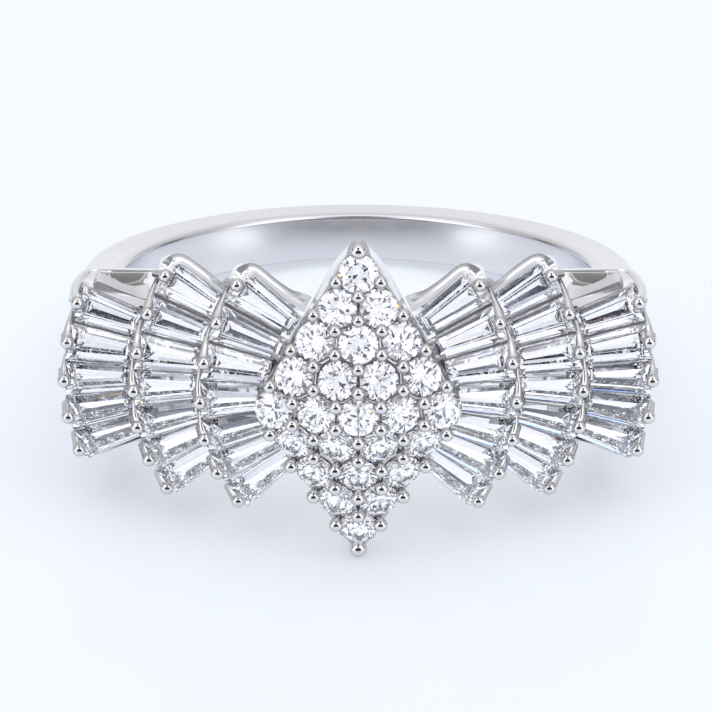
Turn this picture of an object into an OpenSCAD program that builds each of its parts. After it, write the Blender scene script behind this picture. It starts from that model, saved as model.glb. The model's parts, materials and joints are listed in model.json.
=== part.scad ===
// Diamond ring in white metal, lying on its side.
// A domed lozenge of 25 round stones stands between two wings of 38 tapered baguettes.
// All sizes are millimetres. Each piece is drawn in the ring's own frame: the finger goes in along Z,
// the head faces along -Y, and the middle of the bore is the origin. In comments and names, "front"
// is the distance from the finger's axis towards the face, so a front of 10 is y = -10.
// lying() then lays the finished ring down on the surface that it rests on.

/* [Band] */
// Radius of the finger hole
bore_r = 8.5; // [8.3:0.05:8.6]
// Thickness of the band at the back
band_t = 1.45; // [1.2:0.05:1.6]
// How far the outer circle stands forward of the bore, which thickens the sides
band_shift = 0.2; // [0:0.05:0.3]
// Width of the band at the back
band_w_back = 1.7; // [1.4:0.05:2]
// Width of the band at the sides
band_w_side = 2.5; // [2:0.05:2.8]
// Radius of the band's crowned outer face
band_crown_r = 2.5; // [2:0.1:4]
// Thickness of the bridge that closes the bore under the head
bridge_t = 0.6; // [0.4:0.05:0.7]

/* [Shoulders] */
// Distance of the shoulders' outer faces from the middle
shoulder_x = 10.3; // [10.2:0.05:10.4]
// How far forward the shoulders reach
shoulder_front = 6.3; // [6:0.05:6.35]
// Width of the shoulders across the finger, where they meet the head
shoulder_w = 6.4; // [6:0.1:6.6]
// Length of the half-moon slot in each shoulder wall
slot_l = 1.3; // [1:0.1:1.6]
// Width of the half-moon slot
slot_w = 0.5; // [0.3:0.05:0.55]

/* [Wings] */
// Radius of the arch that the wings follow over the finger
arch_r = 8.6; // [8:0.1:9.5]
// Height of a baguette from keel to table
baguette_h = 0.66; // [0.5:0.02:0.7]
// Thickness of the gallery walls
wall_t = 0.2; // [0.15:0.01:0.22]
// Thickness of the rails that carry the prongs
rail_t = 0.3; // [0.25:0.01:0.32]
// Gap between a stone and its metal
gap = 0.04; // [0.03:0.01:0.05]

/* [Lozenge] */
// How far in front of the finger's axis the middle stone's table stands
crown_front = 11.7; // [11.5:0.05:12]
// Fall of the dome towards its upper and lower points
fall_z = 0.40; // [0.35:0.01:0.42]
// Fall of the dome towards its sides
fall_x = 0.33; // [0.28:0.01:0.36]
// Roundness of the dome's top
dome_round = 0.6; // [0.4:0.05:0.8]
// Diameter of a round stone
round_d = 1.26; // [1.2:0.01:1.28]

/* [Prongs] */
// Radius of a prong's ball tip
ball_r = 0.24; // [0.2:0.01:0.25]
// Radius of the balls at the lozenge's two points
point_ball_r = 0.26; // [0.24:0.01:0.28]
// Radius of a prong's shaft
shaft_r = 0.14; // [0.12:0.01:0.15]

/* [Hidden] */

metal = [0.86, 0.87, 0.89];
ice = [0.80, 0.88, 0.98];
big = 30; // cutting tools reach past the whole ring

// One row for each fan of baguettes, counted from the lozenge outwards. A fan turns about a centre on the
// X axis, and its tables lie at a level in front of the finger's axis.
// name, stones, centre, radius to prongs, turn per stone, level, inward lean, wide end, narrow end,
// rise of the inner wall over the tables, depth of the inner wall, depth of the outer rail
FANS = [
    ["inner",  7, -1.25, 6.70, 11.9, 9.85, 4, 1.27, 0.87, -0.22, 2.0, 1.05],
    ["middle", 7,  0.40, 7.37, 10.5, 8.65, 4, 1.25, 0.89,  0.30, 2.4, 1.00],
    ["outer",  5,  2.40, 7.80, 10.0, 7.55, 0, 1.26, 0.92,  0.30, 2.2, 1.80]
];
NAME = 0;
COUNT = 1;
CENTRE = 2;
RADIUS = 3;
TURN = 4;
LEVEL = 5;
LEAN = 6;
WIDE = 7;
NARROW = 8;
RISE = 9;
INNER_DEPTH = 10;
RAIL_DEPTH = 11;

SIDES = ["left", "right"];
function baguette_name(side, fan, i) = str("baguette_", side, "_", fan[NAME], "_", i);

// The cuts, measured down from a stone's table
crown_h = 0.19;         // table to girdle on every stone
girdle_h = 0.05;        // thickness of a girdle
baguette_l = 2.0;
table_inset = 0.20;     // a baguette's table lies this far inside its girdle
step_inset = 0.13;      // the step between its two lower bands of facets
keel_inset = 0.34;      // the flat strip at its bottom
step_share = 0.40;      // depth of that step, as a share of the pavilion
table_share = 0.57;     // a round stone's table against its girdle
star_share = 0.80;      // the ring of facet corners between table and girdle
lower_share = 0.30;     // the ring of facet corners between girdle and point
round_pavilion_h = 0.52;

// Seats of the baguettes
girdle_drop = crown_h + girdle_h;
prong_in = 0.2;                     // a stone's wide end stops this far short of its prong's axis
stone_out = -prong_in;              // places along a stone, measured from the prong's axis
stone_in = stone_out - baguette_l;
inner_face = stone_in - gap;        // faces of the walls at the two ends of a stone
rail_face = stone_out + gap;
end_turn = 0.16;                    // thickness of a fan's end walls, in turns
wall_top = 0.02 - girdle_drop;
bar_w = 0.2;                        // bars under the gaps between neighbours
bar_h = 0.3;
bar_drop = girdle_drop + 0.17;
prong_lift = 0.10;                  // ball centres over the tables
prong_depth = 0.90;                 // shafts reach this far below the tables
rail_past = 0.12;                   // a rail is full size up to this far past its end prongs, in turns
rail_round = 0.06;                  // and it narrows to this at the wall above the highest stone

// The lozenge. Each row: distance from the middle, then the stones' distances from the centre line
ROWS = [
    [0,    [0, 1.50, 2.97]],
    [1.24, [0.76, 2.26]],
    [2.44, [0, 1.55]],
    [3.56, [0.76]],
    [4.69, [0]]
];
plate_half_w = 3.65;    // a lozenge of this size, with its corners cut off further in
plate_half_h = 5.80;
side_end = 3.50;
point_end = 5.40;
plate_t = 0.55;
plate_drop = 0.35;      // top of the plate below the tables
box_side_end = 3.05;    // the box under the plate is cut off here, between the wings' inner walls
box_share = 0.97;       // the rest of it, as a share of the plate's outline
box_wall_share = 0.12;
plate_shares = [0.02, 0.35, 0.7, 1];    // the plate is faceted along outlines of these sizes
box_back = 8.6;         // the box reaches back to here
point_z = 5.54;         // balls at the two points
point_lift = -0.08;
edge_out = 0.44;        // edge prongs stand this far outside the line through their two stones
pair_half = 0.38;       // half the distance between two prongs that share a gap
pave_shaft_r = 0.11;
round_lift = 0.10;      // ball centres over the tables
seat_r = 0.30;          // open hole under a round stone

// The band, the bridge and the shoulders
band_back = bore_r + band_t;
band_r = band_back + band_shift;
band_edge = band_crown_r - sqrt(pow(band_crown_r, 2) - pow(band_w_side / 2, 2));    // drop of the crown at its edges
band_front = 6.1;       // the band ends inside the shoulders
bridge_w = 2.5;
flare_steps = 8;
shoulder_in = 7.2;      // inner side of the shoulder blocks
shoulder_edge = 0.9;    // how far a shoulder's outer face curves back at its corners
dip_from = 4.7;         // from here to the head, the shoulders' walls sink towards the fan's ends
dip = 0.85;
shoulder_wall = 0.5;
hollow_back = 4.9;      // the hollow starts this far in front of the axis
hollow_w = 4.4;
slot_x = 7.98;
slot_front = 5.4;
CROWN_STEPS = [-1, -0.92, -0.8, -0.6, -0.3, 0, 0.3, 0.6, 0.8, 0.92, 1];

module both_sides() {
    children();
    mirror([1, 0, 0]) children();
}

// Frame whose X, Y and Z run along three given directions, placed at p
module in_frame(p, ex, ey, ez) {
    multmatrix([
        [ex[0], ey[0], ez[0], p[0]],
        [ex[1], ey[1], ez[1], p[1]],
        [ex[2], ey[2], ez[2], p[2]]
    ]) children();
}

// A solid through a stack of closed rings of points, all of the same length and turning the same way
module loft(rings) {
    n = len(rings[0]);
    last = len(rings) - 1;
    polyhedron(
        points = [for (ring = rings, p = ring) p],
        faces = concat(
            [[for (i = [0 : n - 1]) i]],
            [for (k = [0 : last - 1], i = [0 : n - 1], half = [0, 1])
                let (a = k * n + i, b = k * n + (i + 1) % n)
                half == 0 ? [a, a + n, b] : [b, a + n, b + n]],
            [[for (i = [n - 1 : -1 : 0]) last * n + i]]
        )
    );
}

// Places on a fan. t counts stones from the fan's middle upwards and may be a fraction.
function drop(z) = arch_r - sqrt(arch_r * arch_r - z * z);
function fan_angle(fan, t) = fan[TURN] * t;
function fan_roll(fan, t) = asin((fan[RADIUS] - baguette_l / 2 - prong_in) * sin(fan_angle(fan, t)) / arch_r);
function fan_point(fan, t) =
    let (a = fan_angle(fan, t), z = fan[RADIUS] * sin(a))
    [fan[CENTRE] + fan[RADIUS] * cos(a), drop(z) - fan[LEVEL], z];
function fan_out(fan, t) = let (a = fan_angle(fan, t)) [cos(a), 0, sin(a)];
function fan_across(fan, t) =
    let (a = fan_angle(fan, t), r = fan_roll(fan, t))
    [-sin(a) * cos(r), sin(r), cos(a) * cos(r)];
function fan_up(fan, t) = cross(fan_out(fan, t), fan_across(fan, t));
function fan_axis(fan, t) = fan_out(fan, t) * cos(fan[LEAN]) + fan_up(fan, t) * sin(fan[LEAN]);
function fan_normal(fan, t) = fan_up(fan, t) * cos(fan[LEAN]) - fan_out(fan, t) * sin(fan[LEAN]);
function top_of(fan) = (fan[COUNT] - 1) / 2;

// Frame of a stone's table: X outwards along the stone, Z out of the table, origin at its prong
module at_fan(fan, t) {
    in_frame(fan_point(fan, t), fan_axis(fan, t), fan_across(fan, t), fan_normal(fan, t)) children();
}

// A wall that follows a fan through a list of stations, each a turn and the wall's two faces there.
// Its flat stretches turn where two stones meet, so that each one is parallel to a stone's end.
module fan_wall(fan, stations, top, bottom) {
    half_turn = cos(fan[TURN] / 2);
    function corner(t, along, level) =
        fan_point(fan, t) + fan_axis(fan, t) * ((fan[RADIUS] + along) / half_turn - fan[RADIUS])
        + fan_normal(fan, t) * level;
    loft([for (p = stations) [
        corner(p[0], p[1], top), corner(p[0], p[2], top), corner(p[0], p[2], bottom), corner(p[0], p[1], bottom)
    ]]);
}

// Gallery of one fan: inner wall, outer rail, a wall above the highest stone and bars between the stones.
// The lowest stone's side stays open.
module gallery(fan) {
    top = top_of(fan) + 0.5;
    joints = [for (t = [1 - top : top - 1]) t];
    inner_back = inner_face - wall_t;
    rail_back = rail_face + rail_t;
    fan_wall(fan, [for (t = concat(-top, joints, top + end_turn / 2)) [t, inner_back, inner_face]],
        fan[RISE], -fan[INNER_DEPTH]);
    fan_wall(fan, concat(
        [for (t = concat(-top_of(fan) - rail_past, joints, top_of(fan) + rail_past)) [t, rail_face, rail_back]],
        [[top + end_turn / 2, rail_face - rail_round, rail_face + rail_round]]
    ), wall_top, -fan[RAIL_DEPTH]);
    fan_wall(fan, [for (t = [top, top + end_turn]) [t, inner_back, rail_face + rail_round]],
        wall_top, -fan[RAIL_DEPTH]);
    for (t = joints) {
        at_fan(fan, t) translate([inner_face - wall_t / 2, -bar_w / 2, -bar_drop - bar_h])
            cube([baguette_l + 2 * gap + wall_t, bar_w, bar_h]);
    }
}

// A shaft with a ball tip, standing along Z of the frame
module prong(foot, tip, shaft, ball) {
    translate([0, 0, foot]) cylinder(h = tip - foot, r = shaft, $fn = 16);
    translate([0, 0, tip]) sphere(r = ball, $fn = 16);
}

module wing_prongs(fan) {
    for (t = [-top_of(fan) : top_of(fan)]) at_fan(fan, t) prong(-prong_depth, prong_lift, shaft_r, ball_r);
}

// The dome of the lozenge
function ramp(v, fall) = fall * (sqrt(v * v + dome_round * dome_round) - dome_round);
function slope(v, fall) = fall * v / sqrt(v * v + dome_round * dome_round);
function dome(x, z) = crown_front - ramp(x, fall_x) - ramp(z, fall_z);
function unit(v) = v / norm(v);
function dome_normal(x, z) = unit([slope(x, fall_x), -1, slope(z, fall_z)]);

// Frame on the dome: Z out of the dome, X across the finger
module on_dome(x, z) {
    n = dome_normal(x, z);
    ex = unit(cross([0, 0, 1], n));
    in_frame([x, -dome(x, z), z], ex, cross(n, ex), n) children();
}

// Stones and prongs of the lozenge, each as [x, z]
function mirrored(v) = v > 0 ? [-v, v] : [v];
STONES = [for (row = ROWS, x = row[1], sx = mirrored(x), sz = mirrored(row[0])) [sx, sz]];

// Two prongs share each gap between neighbours in a row
function row_gaps(xs) = concat(
    xs[0] > 0 ? [0] : [],
    [for (i = [1 : 1 : len(xs) - 1]) (xs[i - 1] + xs[i]) / 2]
);
PAIR_PRONGS = [for (row = ROWS, x = row_gaps(row[1]), sx = mirrored(x), sz = mirrored(row[0]), s = [-1, 1])
    [sx, sz + s * pair_half]];

// One prong stands outside each two neighbours along the edge
function edge_stone(k) = [ROWS[k][1][len(ROWS[k][1]) - 1], ROWS[k][0]];
function edge_prong(k) =
    let (a = edge_stone(k), b = edge_stone(k + 1), d = unit(b - a))
    (a + b) / 2 + [d[1], -d[0]] * edge_out;
EDGE_PRONGS = [for (k = [0 : len(ROWS) - 2], sx = [-1, 1], sz = [-1, 1])
    let (p = edge_prong(k)) [sx * p[0], sz * p[1]]];

LOZENGE_PRONGS = concat(PAIR_PRONGS, EDGE_PRONGS);
function ball_at(p, lift) = [p[0], -dome(p[0], p[1]), p[1]] + dome_normal(p[0], p[1]) * lift;

// Lying down: the ball at the lozenge's lower point and the band's back edge touch the surface
function edge_distance(half_w) = band_back - band_crown_r + sqrt(pow(band_crown_r, 2) - pow(half_w, 2));
edge_half_w = taper(-edge_distance(band_w_back / 2));
edge_back = edge_distance(edge_half_w);
low_ball = ball_at([0, -point_z], point_lift);
reach_y = edge_back - low_ball[1];
reach_z = -low_ball[2] - edge_half_w;
tilt = atan2(reach_z, reach_y) + asin(point_ball_r / norm([reach_y, reach_z]));
rest_height = point_ball_r - low_ball[2] * cos(tilt) + low_ball[1] * sin(tilt);
// How far the lying ring reaches forward and back, so that the origin is in the middle
ring_front = ball_r + max([for (p = LOZENGE_PRONGS)
    let (tip = ball_at(p, round_lift)) -tip[1] * cos(tilt) - tip[2] * sin(tilt)]);
ring_back = (band_back - band_crown_r) * cos(tilt) + band_crown_r;

module lying() {
    translate([0, (ring_front - ring_back) / 2, rest_height]) rotate([-tilt, 0, 0]) children();
}

// The lozenge's outline at a share of its size, as [x, z], with its side corners cut off at a distance:
// each side has a corner at both ends and one in the middle
function outline(share, cut) =
    let (quarter = [
        [cut, plate_half_h * (1 - cut / plate_half_w)],
        [plate_half_w / 2, plate_half_h / 2],
        [plate_half_w * (1 - point_end / plate_half_h), point_end]
    ])
    share * concat(
        quarter,
        [for (i = [2 : -1 : 0]) [-quarter[i][0], quarter[i][1]]],
        -quarter,
        [for (i = [2 : -1 : 0]) [quarter[i][0], -quarter[i][1]]]
    );
function flat(points, front) = [for (p = points) [p[0], -front, p[1]]];
function domed(points, below) = [for (p = points) [p[0], below - dome(p[0], p[1]), p[1]]];

// The domed plate: outwards along its underside, then back along its top
module plate() {
    last = len(plate_shares) - 1;
    loft(concat(
        [for (k = [0 : last]) domed(outline(plate_shares[k], side_end), plate_drop + plate_t)],
        [for (k = [last : -1 : 0]) domed(outline(plate_shares[k], side_end), plate_drop)]
    ));
}

// A post with the box's outline and a domed end
module lozenge_post(share, back, below) {
    loft([
        flat(outline(share, box_side_end), back),
        domed(outline(share, box_side_end), below),
        domed(outline(plate_shares[0], box_side_end), below)
    ]);
}

// The box that the plate stands on, open at the back
module box() {
    into_plate = plate_drop + plate_t / 2;
    difference() {
        lozenge_post(box_share, box_back, into_plate);
        lozenge_post(box_share - box_wall_share, box_back - 1, into_plate - 1);
    }
}

// The cone under a round stone's girdle, with an open hole below its point
module round_seat() {
    rise = round_pavilion_h - (plate_drop - girdle_drop);
    r_top = round_d / 2 * (rise + gap) / round_pavilion_h + gap;
    translate([0, 0, -plate_drop - rise]) cylinder(h = rise + gap, r1 = gap, r2 = r_top, $fn = 24);
    translate([0, 0, -plate_drop - 2 * plate_t]) cylinder(h = 2 * plate_t, r = seat_r, $fn = 24);
}

module lozenge() {
    difference() {
        union() {
            plate();
            box();
        }
        for (s = STONES) on_dome(s[0], s[1]) round_seat();
    }
    foot = -plate_drop - plate_t / 2;
    for (p = LOZENGE_PRONGS) on_dome(p[0], p[1]) prong(foot, round_lift, pave_shaft_r, ball_r);
    for (z = [-point_z, point_z]) on_dome(0, z) prong(foot, point_lift, shaft_r, point_ball_r);
}

// Half the band's width at a distance in front of the axis
function taper(front) = (band_w_side + (band_w_side - band_w_back) * front / band_back) / 2;

// The band: a ring with a crowned rim that narrows towards the back
module band() {
    back = band_back + 1;
    intersection() {
        translate([0, -band_shift, 0]) rotate_extrude($fn = 180) intersection() {
            translate([0, -band_w_side]) square([band_r, 2 * band_w_side]);
            translate([band_r - band_crown_r, 0]) circle(r = band_crown_r, $fn = 90);
        }
        rotate([90, 0, 90]) translate([0, 0, -big / 2]) linear_extrude(big) polygon([
            [back, taper(-back)], [back, -taper(-back)],
            [-band_front, -taper(band_front)], [-band_front, taper(band_front)]
        ]);
    }
}

// The bridge carries the bore's wall on under the head
module bridge() {
    translate([0, 0, -bridge_w / 2]) intersection() {
        cylinder(h = bridge_w, r = bore_r + bridge_t, $fn = 180);
        translate([-big / 2, -big, 0]) cube([big, big, bridge_w]);
    }
}

// Outline of a shoulder across the finger, k steps towards the head: a flat inner side and a crowned outer face
function shoulder_ring(k) =
    let (
        u = k / flare_steps,
        blend = u * u * (3 - 2 * u),
        front = shoulder_front * u,
        half_w = taper(front) + (shoulder_w / 2 - taper(front)) * blend,
        face = band_r + (shoulder_x - band_r) * sin(90 * u),
        edge = band_edge + (shoulder_edge - band_edge) * blend,
        power = 2 + 4 * blend,
        inner_half_w = half_w - dip * max(0, front - dip_from) / (shoulder_front - dip_from)
    )
    concat(
        [[shoulder_in, -front, -inner_half_w]],
        [for (v = CROWN_STEPS) [face - edge * pow(abs(v), power), -front, half_w * v]],
        [[shoulder_in, -front, inner_half_w]]
    );

// A half-moon with its flat side towards the back of the ring
module half_moon() {
    r = (slot_l * slot_l / 4 + slot_w * slot_w) / (2 * slot_w);
    intersection() {
        translate([0, r - slot_w]) circle(r = r, $fn = 60);
        translate([-slot_l, -slot_w]) square([2 * slot_l, slot_w]);
    }
}

// A shoulder block on the right, hollow under the outer fan, with a half-moon slot through both of its walls
module shoulder() {
    inside = shoulder_x - shoulder_in - 2 * shoulder_wall;
    difference() {
        loft([for (k = [0 : flare_steps]) shoulder_ring(k)]);
        translate([shoulder_in + shoulder_wall, -big, -hollow_w / 2]) cube([inside, big - hollow_back, hollow_w]);
        translate([slot_x, slot_w / 2 - slot_front, -big / 2]) linear_extrude(big) half_moon();
    }
}

module mounting() {
    color(metal) lying() difference() {
        union() {
            band();
            bridge();
            lozenge();
            both_sides() {
                shoulder();
                for (fan = FANS) {
                    gallery(fan);
                    wing_prongs(fan);
                }
            }
        }
        cylinder(h = big, r = bore_r, center = true, $fn = 180);
    }
}

// Outline of a baguette at a level, drawn in from its girdle by an inset
function baguette_half(fan, along) = (fan[NARROW] + (fan[WIDE] - fan[NARROW]) * (along - stone_in) / baguette_l) / 2;
function baguette_ring(fan, level, inset) =
    let (
        a = stone_in + inset,
        b = stone_out - inset,
        half_a = baguette_half(fan, a) - inset,
        half_b = baguette_half(fan, b) - inset
    )
    [[a, -half_a, level], [b, -half_b, level], [b, half_b, level], [a, half_a, level]];

// A tapered step-cut stone, counted from the top of its fan
module baguette(side, fan, i) {
    step = girdle_drop + (baguette_h - girdle_drop) * step_share;
    color(ice) lying() mirror([side == "left" ? 1 : 0, 0, 0]) at_fan(fan, top_of(fan) - i + 1) loft([
        baguette_ring(fan, -baguette_h, keel_inset),
        baguette_ring(fan, -step, step_inset),
        baguette_ring(fan, -girdle_drop, 0),
        baguette_ring(fan, -crown_h, 0),
        baguette_ring(fan, 0, table_inset)
    ]);
}

// n points round a circle, from a starting angle
function ring_of(n, r, start, level) =
    [for (k = [0 : n - 1]) let (a = start + k * 360 / n) [r * cos(a), r * sin(a), level]];

// A round brilliant with its table on the frame's origin. Its points run from the table to the culet:
// 8 table corners, 8 star points, 16 on each edge of the girdle, 8 lower points and the culet
module round_stone() {
    r = round_d / 2;
    flat_side = cos(22.5);
    star_fall = crown_h * (star_share * flat_side - table_share) / (1 - table_share);
    lower_fall = girdle_drop + round_pavilion_h * (1 - lower_share * flat_side);
    star = 8;
    upper = 16;
    under = 32;
    lower = 48;
    culet = 56;
    polyhedron(
        points = concat(
            ring_of(8, r * table_share, 0, 0),
            ring_of(8, r * star_share, 22.5, -star_fall),
            ring_of(16, r, 0, -crown_h),
            ring_of(16, r, 0, -girdle_drop),
            ring_of(8, r * lower_share, 22.5, -lower_fall),
            [[0, 0, -girdle_drop - round_pavilion_h]]
        ),
        faces = concat(
            [[7, 6, 5, 4, 3, 2, 1, 0]],
            [for (k = [0 : 7]) [k, (k + 1) % 8, star + k]],
            [for (k = [0 : 7]) [k, star + k, upper + 2 * k, star + (k + 7) % 8]],
            [for (k = [0 : 7]) [star + k, upper + 2 * k + 1, upper + 2 * k]],
            [for (k = [0 : 7]) [star + k, upper + (2 * k + 2) % 16, upper + 2 * k + 1]],
            [for (j = [0 : 15]) [upper + j, upper + (j + 1) % 16, under + (j + 1) % 16, under + j]],
            [for (k = [0 : 7]) [lower + k, under + 2 * k, under + 2 * k + 1]],
            [for (k = [0 : 7]) [lower + k, under + 2 * k + 1, under + (2 * k + 2) % 16]],
            [for (k = [0 : 7]) [culet, lower + (k + 7) % 8, under + 2 * k, lower + k]]
        )
    );
}

module pave_stones() {
    color(ice) lying() for (s = STONES) on_dome(s[0], s[1]) round_stone();
}

mounting();
pave_stones();
for (side = SIDES, fan = FANS, i = [1 : fan[COUNT]]) {
    baguette(side, fan, i);
}
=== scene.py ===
# %% [markdown]
# # A diamond ring with a lozenge of pavé stones between two baguette wings
# This lesson dresses a imported CAD ring. The CAD gives the sizes, and this script gives the polish, the
# cuts of the stones and the light. The first cell loads the imported ring. What is added may hardly make
# it larger.

import json
import math

import bmesh
import bpy
import numpy as np
from mathutils import Matrix, Vector


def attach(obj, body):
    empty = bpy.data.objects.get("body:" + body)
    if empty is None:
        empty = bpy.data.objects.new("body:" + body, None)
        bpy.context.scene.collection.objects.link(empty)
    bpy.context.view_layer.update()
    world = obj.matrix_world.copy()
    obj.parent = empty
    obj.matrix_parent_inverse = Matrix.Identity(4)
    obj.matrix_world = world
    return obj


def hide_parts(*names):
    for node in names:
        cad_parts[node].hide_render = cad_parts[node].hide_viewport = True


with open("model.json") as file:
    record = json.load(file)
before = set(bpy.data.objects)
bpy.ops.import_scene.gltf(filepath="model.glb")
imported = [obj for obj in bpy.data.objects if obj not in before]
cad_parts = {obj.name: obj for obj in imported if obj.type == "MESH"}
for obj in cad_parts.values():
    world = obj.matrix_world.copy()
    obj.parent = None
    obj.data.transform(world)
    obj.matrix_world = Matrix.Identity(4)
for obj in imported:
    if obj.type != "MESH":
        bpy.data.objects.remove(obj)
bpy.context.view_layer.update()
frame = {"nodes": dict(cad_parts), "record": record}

print("nodes:", len(frame["nodes"]))

# %% [markdown]
# A jeweller draws a ring around the finger, so every piece here is drawn in the ring's own frame in
# millimetres: x is to the viewer's right, z runs along the finger, and "front" is the distance from the
# finger's axis towards the face. The finished ring lies on its side. The record states where the finger
# hole is and which way it points, and that is all that is needed to lay each piece down.

# %% The ring's own frame
MM = 0.001
finger_hole = frame["record"]["mounts"][0]
finger_axis = Vector(finger_hole["axis"]).normalized()
to_right = Vector((1, 0, 0))
to_back = finger_axis.cross(to_right)
LAY_DOWN = np.array(Matrix((to_right, to_back, finger_axis)).transposed())
HOLE_CENTRE = np.array(finger_hole["pos_m"])
lean = math.degrees(math.atan2(finger_axis.y, finger_axis.z))


def lay_down(points):
    """Points in the ring's frame, in millimetres, to places in the scene, in metres."""
    return np.asarray(points, float) * MM @ LAY_DOWN.T + HOLE_CENTRE


print("the ring leans back", round(lean, 2), "degrees; hole centre in mm:", (HOLE_CENTRE / MM).round(2))

# %% [markdown]
# Three helpers make every piece. A loft joins a row of closed outlines, as a jeweller's wax is built up
# from sections. A tube follows a path, as wire does. Crisp edges stay crisp and the rest is smooth, as
# after polishing.

# %% Helpers that turn outlines into pieces
def loft_faces(outlines, closed=False):
    """Faces through a row of outlines of the same length. Unless it is closed, both ends are capped."""
    rows = len(outlines)
    count = len(outlines[0])
    faces = []
    for row in range(rows if closed else rows - 1):
        here = row * count
        there = (row + 1) % rows * count
        for i in range(count):
            j = (i + 1) % count
            faces.append((here + i, there + i, there + j, here + j))
    if not closed:
        faces.append(tuple(range(count)))
        faces.append(tuple((rows - 1) * count + i for i in reversed(range(count))))
    return faces


def smooth_step(u):
    """0 below 0, 1 above 1, and a soft rise between them."""
    u = min(max(u, 0), 1)
    return u * u * (3 - 2 * u)


class Shape:
    """Points and faces that are gathered before they become one piece."""

    def __init__(self):
        self.points = []
        self.faces = []

    def add(self, points, faces):
        first = len(self.points)
        self.points += [tuple(p) for p in points]
        self.faces += [tuple(first + i for i in face) for face in faces]

    def loft(self, outlines, closed=False):
        self.add([p for outline in outlines for p in outline], loft_faces(outlines, closed))


def make_piece(name, shape, finish, crisp_angle=35, flat=False):
    """One Blender object from a shape, riding on the ring, with crisp edges where faces meet sharply."""
    mesh = bpy.data.meshes.new(name)
    mesh.from_pydata(lay_down(shape.points).tolist(), [], shape.faces)
    work = bmesh.new()
    work.from_mesh(mesh)
    bmesh.ops.recalc_face_normals(work, faces=work.faces)
    for face in work.faces:
        face.smooth = not flat
    if not flat:
        for edge in work.edges:
            if len(edge.link_faces) == 2 and edge.calc_face_angle() > math.radians(crisp_angle):
                edge.smooth = False
    work.to_mesh(mesh)
    work.free()
    mesh.materials.append(finish)
    piece = bpy.data.objects.new(name, mesh)
    bpy.context.collection.objects.link(piece)
    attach(piece, "root")
    return piece


def tube(shape, path, radii, sides=14, round_end=True):
    """A wire along a path, given in the ring's frame, with a radius at each point."""
    path = np.asarray(path, float)
    ahead = np.gradient(path, axis=0)
    ahead /= np.linalg.norm(ahead, axis=1)[:, None]
    side = np.cross(ahead[0], (0.31, 0.2, 0.93))
    rings = []
    angles = np.linspace(0, 2 * math.pi, sides, endpoint=False)
    for place, along, radius in zip(path, ahead, radii):
        side = side - along * side.dot(along)
        side /= np.linalg.norm(side)
        other = np.cross(along, side)
        rings.append([place + radius * (math.cos(a) * side + math.sin(a) * other) for a in angles])
    if round_end:
        tip = path[-1] + ahead[-1] * radii[-1] * 0.5
        rings.append([tip + (np.array(p) - path[-1]) * 0.6 for p in rings[-1]])
    shape.loft(rings)


# %% [markdown]
# White gold is polished and plated with rhodium, so it is a nearly neutral mirror. A perfect mirror
# looks like plastic chrome. Real polish has faint waves from the buffing wheel and hairlines from wear,
# so the roughness and a very small bump both vary with noise.

# %% Rhodium-plated white gold
def node_material(name):
    material = bpy.data.materials.new(name)
    material.use_nodes = True
    nodes = material.node_tree.nodes
    return material, nodes, material.node_tree.links, nodes["Principled BSDF"]


def noise_node(nodes, links, scale, detail=3.0):
    """Noise that is fixed to the object, at so many waves per metre."""
    place = nodes.new("ShaderNodeTexCoord")
    noise = nodes.new("ShaderNodeTexNoise")
    noise.inputs["Scale"].default_value = scale
    noise.inputs["Detail"].default_value = detail
    links.new(place.outputs["Object"], noise.inputs["Vector"])
    return noise


def ramp_node(nodes, links, source, stops):
    """A ramp from a 0 to 1 value to colours, given as (position, colour)."""
    ramp = nodes.new("ShaderNodeValToRGB")
    while len(ramp.color_ramp.elements) < len(stops):
        ramp.color_ramp.elements.new(0.5)
    for element, (position, colour) in zip(ramp.color_ramp.elements, stops):
        element.position = position
        element.color = (*colour, 1)
    links.new(source, ramp.inputs["Fac"])
    return ramp


def grey(value):
    return (value, value, value)


POLISH_WAVES = 260
HAIRLINES = 900
HAIRLINE_DEPTH = 0.00001


def white_gold(name, tone, polish, edge=0.9, metal=1.0):
    """White metal: tone is its reflectance, polish the range of its roughness, edge the tone at its rims.
    metal is 1 for a mirror and less for a surface so softly lit that it looks a little milky."""
    material, nodes, links, shader = node_material(name)
    shader.inputs["Metallic"].default_value = metal
    shader.inputs["Specular Tint"].default_value = (edge, edge, edge, 1)
    cloud = noise_node(nodes, links, POLISH_WAVES)
    low, high = polish
    roughness = ramp_node(nodes, links, cloud.outputs["Fac"], [(0.3, grey(low)), (0.7, grey(high))])
    links.new(roughness.outputs["Color"], shader.inputs["Roughness"])
    red, green, blue = tone
    darker = (red * 0.96, green * 0.96, blue * 0.97)
    colour = ramp_node(nodes, links, cloud.outputs["Fac"], [(0.35, darker), (0.65, tone)])
    links.new(colour.outputs["Color"], shader.inputs["Base Color"])
    ripple = noise_node(nodes, links, HAIRLINES, 4.0)
    bump = nodes.new("ShaderNodeBump")
    bump.inputs["Strength"].default_value = 0.03
    bump.inputs["Distance"].default_value = HAIRLINE_DEPTH
    links.new(ripple.outputs["Fac"], bump.inputs["Height"])
    links.new(bump.outputs["Normal"], shader.inputs["Normal"])
    return material


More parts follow.
